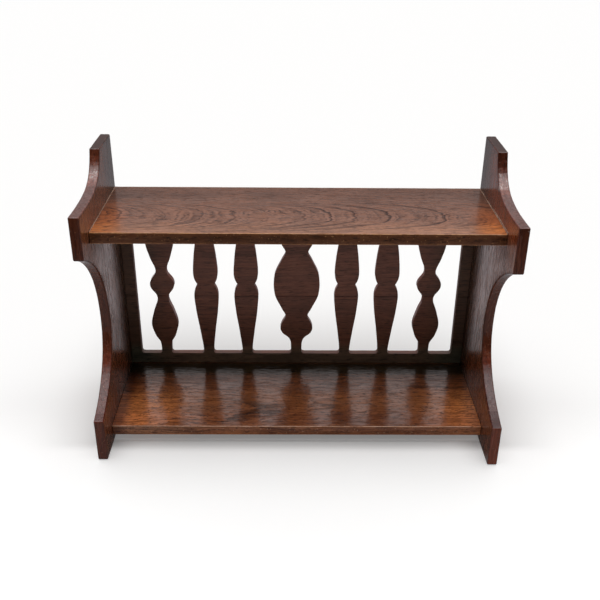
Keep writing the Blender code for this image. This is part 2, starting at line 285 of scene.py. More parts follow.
# oak: growth lines round a heart line, open pores and streaks along the grain, which runs along local x
# each noise is its length along the grain, its width across it, its detail and its roughness
oakGrain = {
    "pores": (0.014, 0.0017, 1.0, 0.4),
    "streaks": (0.085, 0.0034, 3.0, 0.6),
    "ticks": (0.0048, 0.0015, 1.0, 0.5),
    "ripple": (0.027, 0.0047, 2.0, 0.6),
    "jags": (0.030, 0.0055, 2.0, 0.6),
    "slowBend": (1 / 5, 1 / 17, 3.0, 0.55),
    "quickBend": (1 / 18, 1 / 62, 3.0, 0.6),
    "patches": (1 / 8, 1 / 22, 2.0, 0.5),
    "blotch": (0.060, 2.0, 0.5),    # as long as wide
    "quickShare": (1.1, 0.30, 0.30),
    "jagReach": 0.009,
    "ringNoise": {"Scale": 0.45, "Detail": 1.0},
    "ringUneven": 2.6,
    "ringRise": (0.0, 0.10),    # a growth line starts sharply and fades out slowly
    "ringFall": (0.55, 0.10),
    "lineNoise": {"Scale": 3.5, "Detail": 4.0, "Roughness": 0.65},
    "boldWhere": (0.40, 0.66, 0.10, 1.0),
    "fineLines": (0.50, 0.72, 0.0, 0.45),
    "poresFrom": (0.54, 0.68),
    "poresInLines": (0.36, 0.60, 0.25, 1.0),
    "ticksFrom": (0.57, 0.65),
    "ticksInLines": (0.34, 0.58, 0.35, 1.0),
}
noiseMiddle = 0.5


def alongGrain(tree, vector, row, output="Fac"):
    length, width, detail, roughness = row
    stretched = vectorCalc(tree, "MULTIPLY", vector, (1 / length, 1 / width, 1 / width))
    return cloudy(tree, stretched, 1.0, detail, roughness, output)


def makeOakFigure(s):
    inputs = [("Vector", vectorSocket), ("Heart", vectorSocket)]
    inputs += floats("Run", "Straight", "Bow", "Line Size", "Wander", "Seed")
    outputs = floats("Figure", "Pores", "Streak", "Blotch", "Ring Place", "Steepness", "Patchy", "Ripple",
                     "Ticks")
    group, given, result = newGroup("oakFigure", "ShaderNodeTree", inputs, outputs)

    def offMiddle(row):
        colour = alongGrain(group, shifted, s[row], "Color")
        return vectorCalc(group, "SUBTRACT", colour, (noiseMiddle,) * 3)

    def lineNoise(settings):
        node = put(group, "ShaderNodeTexNoise", {"W": count, **settings}, noise_dimensions="1D")
        return node.outputs["Fac"]

    fromHeart = vectorCalc(group, "SUBTRACT", given["Vector"], given["Heart"])
    ownPlace = put(group, "ShaderNodeCombineXYZ", {"X": given["Seed"], "Y": given["Seed"]}).outputs[0]
    shifted = vectorCalc(group, "ADD", fromHeart, ownPlace)
    twist = vectorCalc(group, "MULTIPLY", offMiddle("quickBend"), s["quickShare"])
    bend = vectorCalc(group, "ADD", offMiddle("slowBend"), twist)
    bent = vectorCalc(group, "ADD", fromHeart, scaled(group, bend, given["Wander"]))
    along = split(group, bent)["X"]
    fromAxis = vectorCalc(group, "LENGTH", vectorCalc(group, "MULTIPLY", bent, (0.0, 1.0, 1.0)))

    # lines spread by straight * r + bow * r cubed, and slope is how fast that grows
    spread = times(group, fromAxis, given["Straight"])
    spread = calc(group, "MULTIPLY_ADD", calc(group, "POWER", fromAxis, 3.0), given["Bow"], spread)
    slope = calc(group, "MULTIPLY_ADD", calc(group, "POWER", fromAxis, 2.0), times(group, given["Bow"], 3.0),
                 given["Straight"])
    steepness = calc(group, "SQRT", calc(group, "MULTIPLY_ADD", slope, slope, 1.0))
    ringPlace = calc(group, "MULTIPLY_ADD", along, given["Run"], spread)
    jagged = calc(group, "SUBTRACT", alongGrain(group, shifted, s["jags"]), noiseMiddle)
    ringPlace = calc(group, "ADD", ringPlace, times(group, jagged, times(group, given["Run"], s["jagReach"])))

    count = calc(group, "ADD", calc(group, "DIVIDE", ringPlace, given["Line Size"]), given["Seed"])
    uneven = calc(group, "MULTIPLY_ADD", lineNoise(s["ringNoise"]), s["ringUneven"], count)
    ring = calc(group, "FRACT", uneven)
    porous = calc(group, "MINIMUM", remap(group, ring, *s["ringRise"]), remap(group, ring, *s["ringFall"]))
    lines = lineNoise(s["lineNoise"])
    patchy = alongGrain(group, shifted, s["patches"])
    bold = times(group, porous, remap(group, patchy, *s["boldWhere"]))
    figure = calc(group, "MAXIMUM", bold, remap(group, lines, *s["fineLines"]))
    pores, ticks = (times(group, remap(group, alongGrain(group, bent, s[row]), *s[row + "From"]),
                          remap(group, lines, *s[row + "InLines"])) for row in ("pores", "ticks"))
    blotchSize, *blotchKind = s["blotch"]
    values = {
        "Figure": figure, "Pores": pores, "Ticks": ticks, "Ring Place": ringPlace, "Steepness": steepness,
        "Patchy": patchy, "Streak": alongGrain(group, bent, s["streaks"]),
        "Ripple": alongGrain(group, bent, s["ripple"]),
        "Blotch": cloudy(group, shifted, 1 / blotchSize, *blotchKind)}
    for label, value in values.items():
        group.links.new(value, result[label])
    return group


# worn arrises: the mesh attribute says how near an arris is, and noise breaks the wear up
arrisLook = {
    "patches": (38.0, 3.0, 0.6),    # scale, detail, roughness
    "patchShare": 0.65,
    "fine": (260.0, 2.0, 0.6),
    "fineShare": 0.35,
    "bareFrom": (0.62, 0.86),
    "rubbedFrom": (0.08, 0.60),
}


def makeArrisWear(s):
    inputs = [("Vector", vectorSocket)] + floats("Arris", "Amount")
    group, given, result = newGroup("arrisWear", "ShaderNodeTree", inputs, floats("Bare", "Rubbed"))
    patch = times(group, cloudy(group, given["Vector"], *s["patches"]), s["patchShare"])
    fine = times(group, cloudy(group, given["Vector"], *s["fine"]), s["fineShare"])
    rubbing = calc(group, "ADD", patch, fine)
    reach = times(group, given["Arris"], calc(group, "ADD", rubbing, given["Amount"]))
    group.links.new(remap(group, reach, *s["bareFrom"]), result["Bare"])
    group.links.new(remap(group, reach, *s["rubbedFrom"]), result["Rubbed"])
    return group


# scuff: short scratches within a reach of one place
scuffLook = {
    "fade": (0.35, 1.0, 1.0, 0.0),
    "noise": (1.0, 2.0, 0.6),
    "scratchFrom": (0.50, 0.60),
}


def makeScuffMark(s):
    inputs = [("Vector", vectorSocket), ("Centre", vectorSocket), ("Reach", floatSocket),
              ("Scratch", vectorSocket)]
    group, given, result = newGroup("scuffMark", "ShaderNodeTree", inputs, floats("Mark"))
    away = vectorCalc(group, "DISTANCE", given["Vector"], given["Centre"])
    near = remap(group, calc(group, "DIVIDE", away, given["Reach"]), *s["fade"])
    scratch = cloudy(group, vectorCalc(group, "MULTIPLY", given["Vector"], given["Scratch"]), *s["noise"])
    group.links.new(times(group, near, remap(group, scratch, *s["scratchFrom"])), result["Mark"])
    return group


oakFigure = makeOakFigure(oakGrain)
arrisWear = makeArrisWear(arrisLook)
scuffMark = makeScuffMark(scuffLook)


def useGroup(tree, group, inputs):
    return put(tree, "ShaderNodeGroup", inputs, node_tree=group).outputs


# what all the boards' finishes share
oakLook = {
    "streakShare": 0.6,
    "blotchShare": 0.4,
    "toneFrom": (0.36, 0.64),
    "edgeFrom": (0.85, 0.45),
    "amberStreaks": (0.38, 0.60),
    "flameGaps": (0.32, 0.52),
    "flameLeast": 0.35,
    "flameFade": (9.0, 2.5, 0.40, 1.0),    # flames are weaker where they run along the grain
    "flameRise": (-1.0, 0.0),
    "flameFall": (0.35, 0.0),
    "rearFrom": (0.2, 0.5),
    "sideFrom": (0.5, 0.8),
    "speckNoise": (430.0, 1.0, 0.5),
    "specksFrom": (0.68, 0.74),
    "skyFrom": (0.3, 0.7),
    "endFrom": (0.92, 0.99),
    "bareDepth": 0.8,
    "scuffDepth": 0.5,
    "glossFrom": (0.3, 0.7),
    "filmFrom": (0.38, 0.60),
    "relief": 0.0001,
    "lightBending": 1.5,
    "shine": 0.5,
}


# one bold growth line, sharp on its outer side
def boldLine(tree, ringPlace, middle, width):
    past = calc(tree, "DIVIDE", calc(tree, "SUBTRACT", ringPlace, middle), width)
    rise, fall = (remap(tree, past, *oakLook[key]) for key in ("flameRise", "flameFall"))
    return calc(tree, "MINIMUM", rise, fall)


# one stained and varnished board; s is that board's own dictionary
def oakFinish(name, s):
    look = oakLook
    material = bpy.data.materials.new(name)
    material.use_nodes = True
    tree = material.node_tree
    shader = tree.nodes["Principled BSDF"]
    coordinates = tree.nodes.new("ShaderNodeTexCoord").outputs
    place, normal = coordinates["Object"], coordinates["Normal"]
    where = split(tree, place)
    turned = put(tree, "ShaderNodeMapping", {"Vector": place, "Rotation": s["grainTurn"]}).outputs[0]
    oak = useGroup(tree, oakFigure, {
        "Vector": turned, "Heart": s["heart"], "Run": s["run"], "Straight": s.get("straight", 1.0),
        "Bow": s.get("bow", 0.0), "Line Size": s["lineSize"], "Wander": s["wander"], "Seed": s["seed"]})

    def towards(way):
        return vectorCalc(tree, "DOT_PRODUCT", normal, way)

    def multiplied(colour, share, tint):
        return blendColour(tree, share, colour, tint, "MULTIPLY")

    def covered(colour, mask, depth, over):
        return blendColour(tree, times(tree, mask, depth), colour, over)

    # the wood and its figure
    tone = calc(tree, "ADD", times(tree, oak["Streak"], look["streakShare"]),
                times(tree, oak["Blotch"], look["blotchShare"]))
    colour = blendColour(tree, remap(tree, tone, *look["toneFrom"]), s["deep"], s["pale"])
    onEdge = remap(tree, calc(tree, "ABSOLUTE", towards(s["faceAxis"])), *s.get("edgeFrom", look["edgeFrom"]))
    onFace = calc(tree, "SUBTRACT", 1.0, onEdge)
    # painted reflection and bounce light: orange near the shelf ends, mirrored and caught from the ends' lit
    # faces, fading to the rear
    for low, high, axis in s.get("amberFrom", []):
        lit = times(tree, remap(tree, where[axis], low, high), remap(tree, where["Y"], *s["amberFade"]),
                    remap(tree, onFace, 0.0, 1.0, s["amberEdge"], 1.0),
                    remap(tree, oak["Streak"], *look["amberStreaks"], s["amberStreak"], 1.0))
        colour = blendColour(tree, lit, colour, s["amber"])
    figure = times(tree, oak["Figure"], s.get("figureDepth", 1.0))
    for tip, width, strength in s.get("flames", []):
        line = boldLine(tree, oak["Ring Place"], tip, times(tree, oak["Steepness"], width))
        gaps = remap(tree, oak["Patchy"], *look["flameGaps"], look["flameLeast"] * strength, strength)
        broken = times(tree, line, gaps, remap(tree, oak["Steepness"], *look["flameFade"]))
        figure = calc(tree, "MAXIMUM", figure, broken)
    colour = covered(colour, figure, s["lineDepth"], s["lineColour"])
    colour = covered(colour, oak["Pores"], s["poreDepth"], s["poreColour"])
    colour = covered(colour, oak["Ticks"], s["tickDepth"], s["poreColour"])

    # tints by place and by the way that a face looks, many of them painted light and shade
    rearward = remap(tree, towards((0, 1, 0)), *look["rearFrom"])
    forward = calc(tree, "SUBTRACT", 1.0, rearward)
    # painted light and shade from the board's shades, with a few plain tints, on all but rear-facing faces
    for axis, low, high, tint, *ways in s["shades"]:
        sides = [remap(tree, towards(way), *look["sideFrom"]) for way in ways]
        colour = multiplied(colour, times(tree, remap(tree, where[axis], low, high), forward, *sides), tint)
    # rear faces tinted darker: on the backs the front's colour carries painted light and the rear's does not
    colour = multiplied(colour, rearward, s.get("rearWithoutPaintedLight", white))
    # edges: partly a stain, partly painted shade and light where the edges get less or more light than the
    # faces
    colour = multiplied(colour, onEdge, s["edgeStainAndShade"])
    speck = remap(tree, cloudy(tree, place, *look["speckNoise"]), *look["specksFrom"])
    colour = covered(colour, times(tree, speck, onEdge), s.get("specks", 0.0), s["bare"])
    # painted light and sheen: up-facing faces tinted brighter, where they catch the light from above and
    # mirror the pale room
    skyward = remap(tree, split(tree, normal)["Z"], *look["skyFrom"])
    colour = multiplied(colour, skyward, s.get("skyward", white))
    endways = remap(tree, calc(tree, "ABSOLUTE", towards(s["grainAxis"])), *look["endFrom"])
    colour = multiplied(colour, endways, s["endGrain"])

    # wear, scuffs and painted glints
    arris = put(tree, "ShaderNodeAttribute", attribute_name="arris").outputs["Fac"]
    # darker along the rounded arrises
    colour = multiplied(colour, arris, s.get("arrisTint", white))
    wear = useGroup(tree, arrisWear, {"Vector": place, "Arris": arris, "Amount": s["wear"]})
    colour = covered(colour, wear["Rubbed"], s["rubbing"], s["rubbed"])
    colour = covered(colour, wear["Bare"], look["bareDepth"], s["bare"])
    for centre, reach, scratch in s.get("scuffsAndGlints", []):
        spot = {"Vector": place, "Centre": centre, "Reach": reach, "Scratch": scratch}
        mark = useGroup(tree, scuffMark, spot)["Mark"]
        colour = covered(colour, mark, look["scuffDepth"], s["scuffColour"])
    tree.links.new(colour, shader.inputs["Base Color"])

    rough = remap(tree, oak["Streak"], *look["glossFrom"], *s["gloss"])
    rough = calc(tree, "MAXIMUM", rough, times(tree, endways, s["endRough"]))
    tree.links.new(rough, shader.inputs["Roughness"])
    height = calc(tree, "ADD", times(tree, oak["Streak"], s["streakRelief"]),
                  times(tree, oak["Pores"], -s["poreRelief"]))
    height = calc(tree, "MULTIPLY_ADD", oak["Ripple"], s["rippleRelief"], height)
    bump = put(tree, "ShaderNodeBump", {"Strength": 1.0, "Distance": look["relief"], "Height": height})
    tree.links.new(bump.outputs[0], shader.inputs["Normal"])
    if "varnish" in s:    # the clear film is thinner along the ripple and missing where the grain is open
        film = remap(tree, oak["Ripple"], *look["filmFrom"], *s["varnish"])
        openGrain = calc(tree, "MAXIMUM", oak["Ticks"], calc(tree, "MAXIMUM", oak["Pores"], figure))
        film = calc(tree, "SUBTRACT", film, times(tree, openGrain, s["varnishSunk"]))
        fades = [remap(tree, where[axis], *fade) for axis, *fade in s["varnishFades"]]
        film = times(tree, film, *fades, remap(tree, skyward, 0.0, 1.0, s["varnishSides"], 1.0))
        tree.links.new(calc(tree, "MAXIMUM", film, 0.0), shader.inputs["Coat Weight"])
        shader.inputs["Coat Roughness"].default_value = s["varnishRough"]
    shader.inputs["IOR"].default_value = look["lightBending"]
    shader.inputs["Specular IOR Level"].default_value = s.get("shine", look["shine"])
    return material


# boards: copies of the solids with rounded, worn arrises and slightly uneven faces
boardWork = {
    "weld": 0.000002,
    "flatAngle": 0.3,       # degrees; flatter seams between triangles are dissolved
    "arrisAngle": 28,       # degrees; sharper edges are rounded
    "sharpAngle": 42,       # degrees; sharper edges stay sharp in the shading
    "boreMargin": 0.0012,
    "spareMargin": 0.0004,
    "roundSteps": 3,
    "roundProfile": 0.5,
    "cell": 0.010,
    "cellSnap": 0.0001,
    "jointCut": 0.0009,
    "jointSnap": 0.00005,
    "unevenness": 0.00012,
    "unevenSize": 22.0,
    "dent": 0.0004,
    "dentSize": 95.0,
    "dentPower": 1.5,
}


def boreAxes(kind, axis):
    middles = []
    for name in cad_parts:
        if name.startswith(kind):
            low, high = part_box(name)
            size = high - low
            middles.append(((low + high) / 2, max(size[i] for i in range(3) if i != axis) / 2))
    return axis, middles


bores = [boreAxes("dowel_", 0), boreAxes("back_screw_", 1)]


def inBore(point):
    for axis, middles in bores:
        for middle, radius in middles:
            gap = point - middle
            gap[axis] = 0
            if gap.length < radius + boardWork["boreMargin"]:
                return True
    return False


# spare holds the planes, as axis and value, where a board meets its neighbour and keeps its square edge
def isArris(edge, spare):
    if len(edge.link_faces) != 2 or edge.calc_face_angle(0) < math.radians(boardWork["arrisAngle"]):
        return False
    if all(inBore(vertex.co) for vertex in edge.verts):
        return False
    middle = (edge.verts[0].co + edge.verts[1].co) / 2
    return not any(abs(middle[axis] - value) < boardWork["spareMargin"] for axis, value in spare)


def axisVector(axis):
    return Vector([1.0 if i == axis else 0.0 for i in range(3)])


def cutAcross(board, spot, across, snap):
    everything = board.verts[:] + board.edges[:] + board.faces[:]
    bmesh.ops.bisect_plane(board, geom=everything, dist=snap, plane_co=spot, plane_no=across)


def cutCells(board, cell):
    low = Vector([min(v.co[i] for v in board.verts) for i in range(3)])
    high = Vector([max(v.co[i] for v in board.verts) for i in range(3)])
    for axis in range(3):
        count = round((high[axis] - low[axis]) / cell)
        across = axisVector(axis)
        for step in range(1, count):
            spot = low + across * (high[axis] - low[axis]) * step / count
            cutAcross(board, spot, across, boardWork["cellSnap"])


def wearBoard(board, stripLayer, seed):
    wearLayer = board.verts.layers.float.new("arris")
    board.normal_update()
    moves = []
    for vertex in board.verts:
        strips = [face[stripLayer] for face in vertex.link_faces]
        nearness = 1.0 if all(strips) else 0.5 if any(strips) else 0.0
        vertex[wearLayer] = nearness
        spot = vertex.co * boardWork["unevenSize"] + Vector((seed, 0, 0))
        depth = boardWork["unevenness"] * (0.5 + 0.5 * noise.noise(spot))
        dent = noise.noise(vertex.co * boardWork["dentSize"] + Vector((0, seed, 0)))
        depth += boardWork["dent"] * nearness * max(0.0, dent) ** boardWork["dentPower"]
        moves.append(vertex.normal * depth)
    for vertex, move in zip(board.verts, moves):
        if not inBore(vertex.co):
            vertex.co -= move


def addBoard(name, node, rounding, material, seed, spare):
    work = boardWork
    board = bmesh.new()
    board.from_mesh(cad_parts[node].data)
    bmesh.ops.remove_doubles(board, verts=board.verts, dist=work["weld"])
    bmesh.ops.dissolve_limit(board, angle_limit=math.radians(work["flatAngle"]), verts=board.verts,
                             edges=board.edges)
    stripLayer = board.faces.layers.int.new("strip")
    arrises = [edge for edge in board.edges if isArris(edge, spare)]
    rounded = bmesh.ops.bevel(board, geom=arrises, offset=rounding, offset_type="OFFSET",
                              segments=work["roundSteps"], profile=work["roundProfile"], affect="EDGES",
                              clamp_overlap=False)
    for face in rounded["faces"]:
        face[stripLayer] = 1
    cutCells(board, work["cell"])
    for axis, value in spare:
        across = axisVector(axis)
        for side in (-work["jointCut"], work["jointCut"]):
            cutAcross(board, across * (value + side), across, work["jointSnap"])
    wearBoard(board, stripLayer, seed)
    bmesh.ops.triangulate(board, faces=[face for face in board.faces if len(face.verts) > 4])
    mesh = bpy.data.meshes.new(name)
    board.to_mesh(mesh)
    board.free()
    mesh.materials.append(material)
    mesh.shade_smooth()
    mesh.set_sharp_from_angle(angle=math.radians(work["sharpAngle"]))
    piece = bpy.data.objects.new(name, mesh)
    bpy.context.scene.collection.objects.link(piece)
    weighted = piece.modifiers.new("flatFaces", "WEIGHTED_NORMAL")
    weighted.keep_sharp = True
    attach(piece, "root")
    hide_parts(node)
    print(name, "made:", len(mesh.polygons), "faces")


# a shade, mostly painted light or shade: an axis, where along it the tint starts and where it is full, the
# tint, and for some shades the way that the tinted faces look
# a varnish fade is an axis, two places along it, and the share of the film that is left at each
ends = {
    "rounding": 0.0019,
    "grainTurn": (0, quarterTurn, 0),    # grain stands upright
    "grainAxis": (0, 0, 1),
    "endGrain": (0.46, 0.44, 0.48, 1),
    "endRough": 0.5,
    # painted light and sheen on the up-facing faces
    "skyward": (2.15, 2.15, 2.70, 1),
    # painted shade: darker towards the foot, and up-facing horn tops and foot edges darker against the light
    # from above
    "shades": [("Z", 0.14, 0.05, (0.88, 0.78, 0.80, 1)),
               ("Z", 0.372, 0.392, (0.28, 0.27, 0.25, 1), (0, 0, 1)),
               ("Z", 0.16, 0.12, (0.60, 0.43, 0.38, 1), (0, 0, 1))],
    "varnish": (0.6, 1.0),
    "varnishFades": [("Z", 0.390, 0.370, 0.0, 1.0), ("Z", 0.16, 0.26, 0.0, 1.0)],
    "varnishSides": 0.0,    # the film shows on the noses' upper edges alone
    "varnishSunk": 0.5,
    "varnishRough": 0.28,
    "arrisTint": (0.60, 0.52, 0.54, 1),
    "edgeFrom": (0.97, 0.80),
    "specks": 0.35,
    "tickDepth": 0.25,
    "faceAxis": (1, 0, 0),
    "run": 0.05,
    "lineSize": 0.006,
    "wander": 0.020,
    "pale": (0.240, 0.076, 0.028, 1),
    "deep": (0.148, 0.045, 0.018, 1),
    "lineColour": (0.055, 0.017, 0.009, 1),
    "lineDepth": 0.48,
    "poreColour": (0.030, 0.012, 0.008, 1),
    "poreDepth": 0.65,
    "edgeStainAndShade": (0.70, 0.56, 0.58, 1),
    "rubbed": (0.24, 0.09, 0.04, 1),
    "rubbing": 0.04,
    "bare": (0.42, 0.22, 0.12, 1),
    "wear": -0.10,
    "gloss": (0.10, 0.32),
    "streakRelief": 1.1,
    "poreRelief": 1.2,
    "rippleRelief": 0.0,
    "scuffColour": (0.62, 0.55, 0.52, 1),
}
# a scuff is its centre, its reach and how fine its scratches are each way
leftEnd = {
    **ends,
    "heart": (0, 0.06, 0.10),
    "seed": 3.1,
    # painted shade: the inner face darker towards its rear corner
    "shades": ends["shades"] + [("Y", 0.030, 0.095, (0.34, 0.44, 0.50, 1), (1, 0, 0))],
    "scuffsAndGlints": [((-0.2735, 0.016, 0.376), 0.008, (160, 420, 260)),
               ((-0.270, 0.020, 0.379), 0.006, (420, 180, 300))],
}
rightEnd = {
    **ends,
    "heart": (0, 0.02, -0.10),
    "seed": 8.7,
    # painted shade to the inner face's rear, a painted bluish reflection between the shelves, evened out
    # above; darker foot edge, brighter foot front, darker horn front
    "shades": ends["shades"] + [("Y", 0.030, 0.095, (0.30, 0.35, 0.32, 1), (-1, 0, 0)),
                                ("Z", 0.12, 0.17, (1.15, 1.25, 1.55, 1), (-1, 0, 0)),
                                ("Z", 0.315, 0.335, (0.91, 0.54, 0.335, 1), (-1, 0, 0)),
                                ("Z", 0.16, 0.12, (0.65, 0.56, 0.62, 1), (0, 0, 1)),
                                ("Z", 0.080, 0.045, (1.85, 1.80, 1.65, 1), (0, -1, 0)),
                                ("Z", 0.345, 0.365, (0.72, 0.68, 0.74, 1), (0, -1, 0))],
    # pale marks: a chip last, the others partly scuffs and partly painted glints along the horn's front edge
    "scuffsAndGlints": [((0.2680, 0.016, 0.376), 0.007, (420, 140, 140)),
               ((0.2680, 0.004, 0.367), 0.008, (420, 140, 140)),
               ((0.2790, 0.012, 0.372), 0.005, (420, 160, 160)),
               ((0.2790, -0.1115, 0.352), 0.003, (300, 300, 300))],
}

shelves = {
    "rounding": 0.0011,
    "grainTurn": (0, 0, 0),
    "grainAxis": (1, 0, 0),
    "endGrain": (0.6, 0.55, 0.5, 1),
    "endRough": 0.65,
    "faceAxis": (0, 0, 1),
    "poreColour": (0.030, 0.012, 0.008, 1),
    "rubbed": (0.32, 0.12, 0.05, 1),
    "rubbing": 0.35,
    "poreRelief": 0.9,
    "specks": 0.40,
    "varnishSides": 1.0,
}
upperShelf = {
    **shelves,
    "heart": (0, -0.007, 0.328),
    "wander": 0.017,
    "run": 1.0,
    "straight": 0.0,
    "bow": 918.0,    # the growth lines end in blunt tips that point to the right
    "lineSize": 0.015,
    "figureDepth": 0.85,
    "lineDepth": 0.95,
    "lineColour": (0.034, 0.011, 0.007, 1),
    "pale": (0.255, 0.084, 0.032, 1),
    "deep": (0.180, 0.057, 0.021, 1),
    # painted reflection and bounce light from the ends: orange near each end, fading to the rear
    "amber": (0.50, 0.122, 0.020, 1),
    "amberFrom": [(-0.215, -0.266, "X"), (0.215, 0.266, "X")],
    "amberFade": (0.070, -0.045),
    "amberEdge": 0.0,
    "amberStreak": 0.70,    # the share of the amber that is left along the darker streaks
    # darker edges: partly a stain, partly painted shade
    "edgeStainAndShade": (0.35, 0.30, 0.24, 1),
    "seed": 1.7,
    "bare": (0.75, 0.36, 0.14, 1),
    "wear": 0.30,
    "gloss": (0.17, 0.28),
    "shine": 0.12,
    "varnish": (0.75, 1.0),
    "varnishFades": [("Y", 0.110, 0.050, 0.75, 1.0)],
    "varnishSunk": 0.85,
    "varnishRough": 0.20,
    "poreDepth": 0.85,
    "tickDepth": 0.55,
    "streakRelief": 0.6,
    "rippleRelief": 0.8,
    # each flame's tip along the shelf, its width and its strength
    "flames": [(-0.235, 0.004, 0.75), (-0.180, 0.003, 0.70), (-0.130, 0.004, 0.75), (-0.085, 0.004, 0.85),
               (-0.040, 0.003, 0.60), (0.006, 0.004, 0.75), (0.042, 0.005, 1.00), (0.076, 0.005, 1.00),
               (0.122, 0.007, 1.00), (0.160, 0.003, 0.55), (0.197, 0.006, 1.00), (0.250, 0.003, 0.70),
               (0.310, 0.004, 0.95), (0.400, 0.004, 0.95), (0.520, 0.004, 0.95)],
    # painted shade and light: darker towards the rear, brighter towards the front
    "shades": [("Y", 0.0, 0.10, (0.74, 0.70, 0.66, 1)), ("Y", -0.015, -0.060, (1.80, 2.25, 2.75, 1))],
}
lowerShelf = {
    **shelves,
    "heart": (0, -0.02, -0.08),
    "wander": 0.022,
    "run": 0.04,
    "lineSize": 0.006,
    "lineDepth": 0.70,
    "lineColour": (0.050, 0.019, 0.010, 1),
    "pale": (0.340, 0.112, 0.041, 1),
    "deep": (0.165, 0.050, 0.020, 1),
    # painted reflection and bounce light from the ends: orange near each end, fading to the rear
    "amber": (0.88, 0.285, 0.085, 1),
    "amberFrom": [(-0.10, -0.25, "X"), (0.16, 0.28, "X")],
    "amberFade": (0.075, -0.030),
    "amberEdge": 0.3,
    "amberStreak": 0.45,
    # painted light: the edges are brightened
    "edgeStainAndShade": (1.14, 1.26, 1.45, 1),
    "seed": 5.3,
    "bare": (0.78, 0.46, 0.30, 1),
    "wear": 0.34,
    "gloss": (0.07, 0.22),
    "shine": 0.42,
    "varnish": (0.25, 1.0),
    "varnishFades": [("Y", 0.078, 0.034, 0.05, 1.0)],
    "varnishSunk": 0.75,
    "varnishRough": 0.13,
    "poreDepth": 0.75,
    "tickDepth": 0.75,
    "streakRelief": 1.6,
    "rippleRelief": 5.5,
    # painted shade: darker towards the rear, a dark strip at the rail, a painted shadow beside the left end;
    # plain tints: redder middle, darker front, mauve left front edge
    "shades": [("Y", 0.010, 0.075, (0.66, 0.68, 0.74, 1)), ("Y", 0.035, 0.010, (1.17, 1.20, 1.10, 1)),
               ("Y", -0.010, -0.050, (0.81, 0.767, 0.836, 1)), ("Y", 0.058, 0.080, (0.16, 0.28, 0.30, 1)),
               ("X", -0.243, -0.258, (0.50, 0.44, 0.46, 1)),
               ("X", -0.10, -0.20, (0.76, 0.92, 1.20, 1), (0, -1, 0))],
}

backs = {
    "rounding": 0.0007,
    "grainTurn": (0, 0, 0),
    "grainAxis": (1, 0, 0),
    "endGrain": (0.8, 0.8, 0.8, 1),
    "endRough": 0.65,
    "faceAxis": (0, 1, 0),
    "run": 0.03,
    "lineSize": 0.005,
    "wander": 0.016,
    # painted light: pale and deep are far brighter than dark stained oak, to light the fret's shaded front
    "pale": (0.335, 0.122, 0.072, 1),
    "deep": (0.215, 0.081, 0.050, 1),
    "lineColour": (0.090, 0.036, 0.024, 1),
    "lineDepth": 0.5,
    # painted shade: darker towards the rail and the stiles; also tints: the rail less red, up-facing faces
    # near it redder
    "shades": [("Z", 0.17, 0.06, (0.70, 0.74, 0.74, 1)), ("Z", 0.068, 0.048, (1.05, 1.70, 1.85, 1)),
               ("X", -0.190, -0.25, (0.60, 0.88, 0.94, 1)), ("X", 0.190, 0.25, (0.58, 0.86, 0.92, 1)),
               ("Z", 0.10, 0.06, (0.96, 0.70, 0.67, 1), (0, 0, 1))],
    "jointReach": 0.0010,    # a fine dark line where the two boards meet
    "jointTint": (0.68, 0.68, 0.68, 1),
    "poreColour": (0.025, 0.012, 0.009, 1),
    "poreDepth": 0.6,
    "shine": 0.45,
    "edgeStainAndShade": (0.85, 0.58, 0.50, 1),
    "rearWithoutPaintedLight": (0.50, 0.50, 0.48, 1),
    "tickDepth": 0.2,
    "rubbed": (0.18, 0.075, 0.045, 1),
    "rubbing": 0.2,
    "bare": (0.30, 0.15, 0.10, 1),
    "wear": 0.0,
    "gloss": (0.30, 0.42),
    "streakRelief": 0.6,
    "poreRelief": 0.6,
    "rippleRelief": 0.5,
}
shelfLow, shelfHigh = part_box("upper_shelf")
shelfEnds = [(0, shelfLow.x), (0, shelfHigh.x)]
jointAbove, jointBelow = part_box("upper_back_board")[0].z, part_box("lower_back_board")[1].z
boardJoint = [(2, jointAbove), (2, jointBelow)]


def jointShades(joint, reach):
    return backs["shades"] + [("Z", joint + reach, joint, backs["jointTint"])]


upperBack = {
    **backs,
    "heart": (0, 0.06, 0.26),
    "seed": 6.2,
    "shades": jointShades(jointAbove, backs["jointReach"]),
}
lowerBack = {
    **backs,
    "heart": (0, 0.05, 0.05),
    "seed": 9.9,
    "shades": jointShades(jointBelow, -backs["jointReach"]),
}

for piece, node, finish, s, slot, spare in (
        ("leftEndBoard", "left_end", "leftEndOak", leftEnd, "end_wood", []),
        ("rightEndBoard", "right_end", "rightEndOak", rightEnd, "end_wood", []),
        ("upperShelfBoard", "upper_shelf", "upperShelfOak", upperShelf, "shelf_wood", shelfEnds),
        ("lowerShelfBoard", "lower_shelf", "lowerShelfOak", lowerShelf, "shelf_wood", shelfEnds),
        ("upperBackFret", "upper_back_board", "upperBackOak", upperBack, "back_wood", boardJoint),
        ("lowerBackFret", "lower_back_board", "lowerBackOak", lowerBack, "back_wood", boardJoint)):
    addBoard(piece, node, s["rounding"], oakFinish(finish, s), s["seed"], spare)


# pieces grown with geometry nodes from a few starting points or edges
def growPiece(name, points, edges, group, values, smoothAngle):
    mesh = bpy.data.meshes.new(name)
    mesh.from_pydata(points, edges, [])
    piece = bpy.data.objects.new(name, mesh)
    bpy.context.scene.collection.objects.link(piece)
    growth = piece.modifiers.new("growth", "NODES")
    growth.node_group = group
    for item in group.interface.items_tree:
        if item.in_out == "INPUT" and item.name in values:
            growth[item.identifier] = values[item.name]
    ready = bpy.context.evaluated_depsgraph_get()
    grown = bpy.data.meshes.new_from_object(piece.evaluated_get(ready))
    piece.modifiers.clear()
    piece.data = grown
    grown.name = name
    grown.shade_smooth()
    grown.set_sharp_from_angle(angle=math.radians(smoothAngle))
    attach(piece, "root")
    print(name, "grown:", len(grown.polygons), "faces")
    return piece


